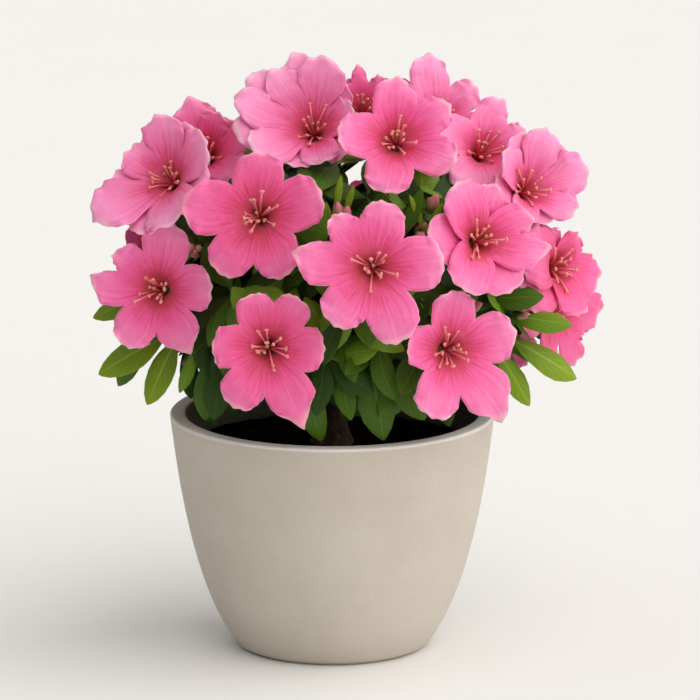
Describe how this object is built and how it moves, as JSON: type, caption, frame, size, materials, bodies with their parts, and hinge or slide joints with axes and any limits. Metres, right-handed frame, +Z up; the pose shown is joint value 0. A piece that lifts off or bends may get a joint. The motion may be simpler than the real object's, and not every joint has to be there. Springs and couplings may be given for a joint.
{
  "type": "potted azalea shrub",
  "caption": "Small flowering azalea shrub with a squat domed crown, growing from a short stem in a smooth round bowl-shaped pot.",
  "frame": {"origin": "middle of the pot's flat underside, on the surface that the pot stands on", "axes": "+Z up along the pot's axis, -Y towards the plant's front, +X to the right seen from the front"},
  "size_m": [0.2299, 0.2176, 0.27],
  "materials": {
    "stoneware": "matt",
    "soil": "rough",
    "bark": "rough",
    "leaf": "satin",
    "blossom": "soft"
  },
  "bodies": {
    "root": {"pot": "stoneware", "soil": "soil", "stem": "bark", "bough_top_left": "bark", "bough_top_right": "bark", "bough_top_back_right": "bark", "bough_top_back_left": "bark", "bough_left": "bark", "bough_front_left": "bark", "bough_front_right": "bark", "bough_right": "bark", "bough_back_right": "bark", "bough_back_left": "bark", "bough_low_left": "bark", "bough_low_front_left": "bark", "bough_low_front_right": "bark", "bough_low_right": "bark", "bough_low_back_right": "bark", "bough_low_back_left": "bark", "foliage_top_left": "blossom", "foliage_top_right": "blossom", "foliage_top_back_right": "blossom", "foliage_top_back_left": "blossom", "foliage_left": "blossom", "foliage_front_left": "blossom", "foliage_front_right": "blossom", "foliage_right": "blossom", "foliage_back_right": "blossom", "foliage_back_left": "blossom", "foliage_low_left": "leaf", "foliage_low_front_left": "leaf", "foliage_low_front_right": "leaf", "foliage_low_right": "leaf", "foliage_low_back_right": "leaf", "foliage_low_back_left": "leaf"}
  },
  "joints": []
}
